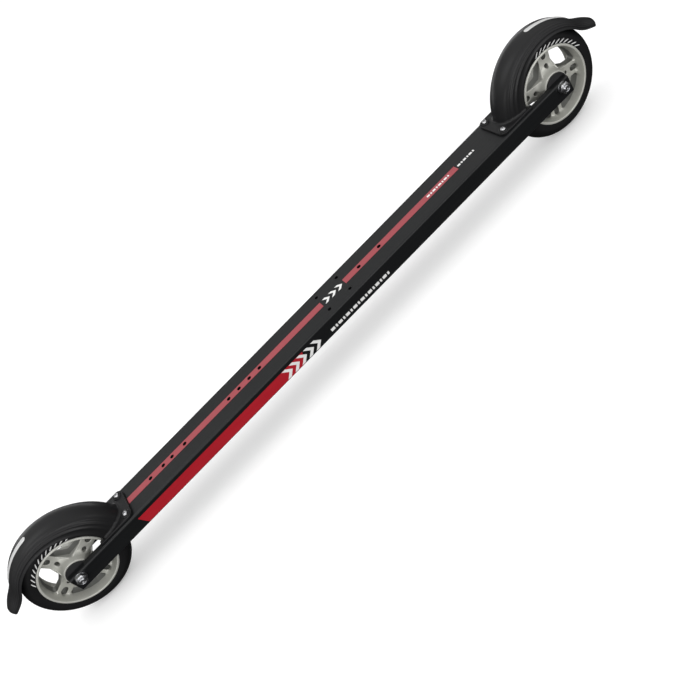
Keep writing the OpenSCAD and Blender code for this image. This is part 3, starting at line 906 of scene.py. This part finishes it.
def floor():
    """Pale floor that is clear from below."""
    look = Look("studio_floor", (0.86, 0.86, 0.86), 0.6, specular=0.2)
    look.tint(look.span(look.noise(3, detail=2), 0.3, 0.7, 0.0, 0.1), (0.84, 0.84, 0.84))
    look.set("Emission Color", (1.0, 1.0, 1.0, 1.0))
    look.set("Emission Strength", 0.22)
    from_below = look.add("ShaderNodeNewGeometry").outputs["Backfacing"]
    clear = look.add("ShaderNodeBsdfTransparent").outputs[0]
    both = look.add("ShaderNodeMixShader", _0=from_below, _1=look.shader.outputs[0], _2=clear)
    look.join(both.outputs[0], look.tree.nodes["Material Output"].inputs["Surface"])
    reach, level = 6, -0.0001
    corners = [(x * reach, y * reach, level) for x, y in ((-1, -1), (1, -1), (1, 1), (-1, 1))]
    stage("studio_floor", (corners, [(0, 1, 2, 3)]), look)


def backdrop():
    """Pale bowl that rises round the floor and lets all light through."""
    look = Look("studio_backdrop", (0.0, 0.0, 0.0), 0.8, specular=0.0)
    look.set("Emission Color", (1.0, 1.0, 1.0, 1.0))
    glow = look.span(look.noise(0.4, detail=2), 0.3, 0.7, 0.90, 0.94)
    look.join(glow, look.shader.inputs["Emission Strength"])
    rings = [[(r * math.cos(t), r * math.sin(t), z) for t in steps_of(64)]
             for r, z in ((5.8, -6.0), (5.8, 0.0), (7.5, 1.0), (9.0, 4.0), (9.5, 9.0))]
    stage("studio_backdrop", tube(rings, capped=False), look).visible_shadow = False


def softbox(name, place, aim, size, power):
    """White rectangular lamp that faces a point."""
    light = bpy.data.lights.new(name, "AREA")
    light.shape = "RECTANGLE"
    light.size, light.size_y = size
    light.energy = power
    lamp = bpy.data.objects.new(name, light)
    bpy.context.scene.collection.objects.link(lamp)
    lamp.location = place
    lamp.rotation_euler = (Vector(aim) - Vector(place)).to_track_quat("-Z", "Y").to_euler()


def sky():
    """Soft light that is strongest overhead and on the near side, and weak from below."""
    world = bpy.data.worlds.new("studio")
    world.use_nodes = True
    nodes, links = world.node_tree.nodes, world.node_tree.links
    direction = nodes.new("ShaderNodeTexCoord").outputs["Generated"]
    toward = nodes.new("ShaderNodeVectorMath")
    toward.operation = "DOT_PRODUCT"
    links.new(direction, toward.inputs[0])
    toward.inputs[1].default_value = (0.0, -0.3, 1.0)
    level = nodes.new("ShaderNodeMapRange")
    level.interpolation_type = "SMOOTHSTEP"
    links.new(toward.outputs["Value"], level.inputs["Value"])
    level.inputs["From Min"].default_value = -0.35
    level.inputs["From Max"].default_value = 1.0
    level.inputs["To Min"].default_value = 0.04
    level.inputs["To Max"].default_value = 1.2
    links.new(level.outputs["Result"], nodes["Background"].inputs["Strength"])
    nodes["Background"].inputs["Color"].default_value = (1.0, 1.0, 1.0, 1.0)
    bpy.context.scene.world = world


def studio():
    floor()
    backdrop()
    sky()
    softbox("strip", (0, -2.0, 0.55), (0, 0, 0.05), (3.4, 0.5), 22)
    softbox("fill", (0, 2.2, 0.3), (0, 0, 0.05), (3.4, 0.5), 12)
    softbox("key", (-0.9, 0.2, 2.2), (0, 0, 0), (1.6, 1.6), 10)
    bpy.context.scene.view_settings.view_transform = "Standard"


def camera():
    """Looks down at the right side of the ski, turned so that the ski runs corner to corner."""
    azimuth, elevation, roll = math.radians(3.04), math.radians(40.36), math.radians(-43.64)
    aim = Vector((-0.0004, -0.0667, WHEEL_R + 0.00045))
    distance = 0.7122
    forward = Vector((math.sin(azimuth) * math.cos(elevation),
                      math.cos(azimuth) * math.cos(elevation), -math.sin(elevation)))
    level = Vector((math.cos(azimuth), -math.sin(azimuth), 0))
    rise = level.cross(forward)
    right = math.cos(roll) * level + math.sin(roll) * rise
    up = right.cross(forward)
    data = bpy.data.cameras.new("camera")
    data.lens = 43.29
    data.sensor_width = 36
    data.clip_start = 0.01
    eye = bpy.data.objects.new("camera", data)
    bpy.context.scene.collection.objects.link(eye)
    turn = Matrix((right, up, -forward)).transposed().to_4x4()
    eye.matrix_world = Matrix.Translation(aim - distance * forward) @ turn
    bpy.context.scene.camera = eye


studio()
camera()
